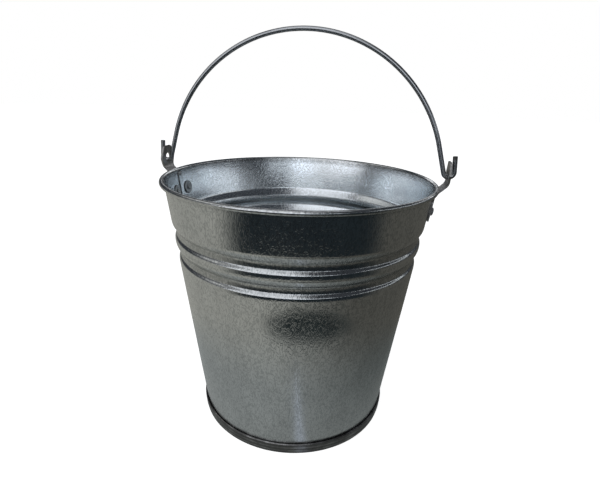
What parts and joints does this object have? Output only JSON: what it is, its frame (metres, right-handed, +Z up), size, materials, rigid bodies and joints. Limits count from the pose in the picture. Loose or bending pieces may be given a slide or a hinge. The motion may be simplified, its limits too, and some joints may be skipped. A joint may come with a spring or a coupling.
{
  "type": "bucket",
  "caption": "Tapered galvanised bucket with a rolled wire rim, swaged rings, a folded base seam, riveted ears and a swinging wire bail.",
  "frame": {"origin": "centre of the foot, on the ground", "axes": "+Z up the bucket's axis, X along the bail's axis from the left ear to the right ear, -Y towards the viewer"},
  "size_m": [0.3318, 0.3, 0.4337],
  "materials": {
    "galvanised_sheet": "hot-dip galvanised sheet, fine vertical grain with a soft spangle, satin reflection",
    "base_sheet": "galvanised sheet darkened and rubbed along the folded seam",
    "ear_steel": "pressed galvanised plate, dull, with worn edges",
    "rivet_steel": "galvanised steel, hammered head",
    "bail_wire": "drawn galvanised wire, fine lengthwise lines",
    "rim_wire": "plain drawn wire"
  },
  "bodies": {
    "pail": {"body_wall": "galvanised_sheet", "rim_wire": "rim_wire", "base_pan": "base_sheet", "ear_right": "ear_steel", "ear_left": "ear_steel", "rivet_right_front": "rivet_steel", "rivet_right_rear": "rivet_steel", "rivet_left_front": "rivet_steel", "rivet_left_rear": "rivet_steel", "rivet_washer_right_front": "rivet_steel", "rivet_washer_right_rear": "rivet_steel", "rivet_washer_left_front": "rivet_steel", "rivet_washer_left_rear": "rivet_steel"},
    "bail": {"bail": "bail_wire"}
  },
  "joints": [
    {"name": "bail_swing", "type": "hinge", "parent": "pail", "child": "bail", "pos_m": [0, 0, 0.291], "axis": [1, 0, 0], "range_deg": [-94, 94]}
  ]
}
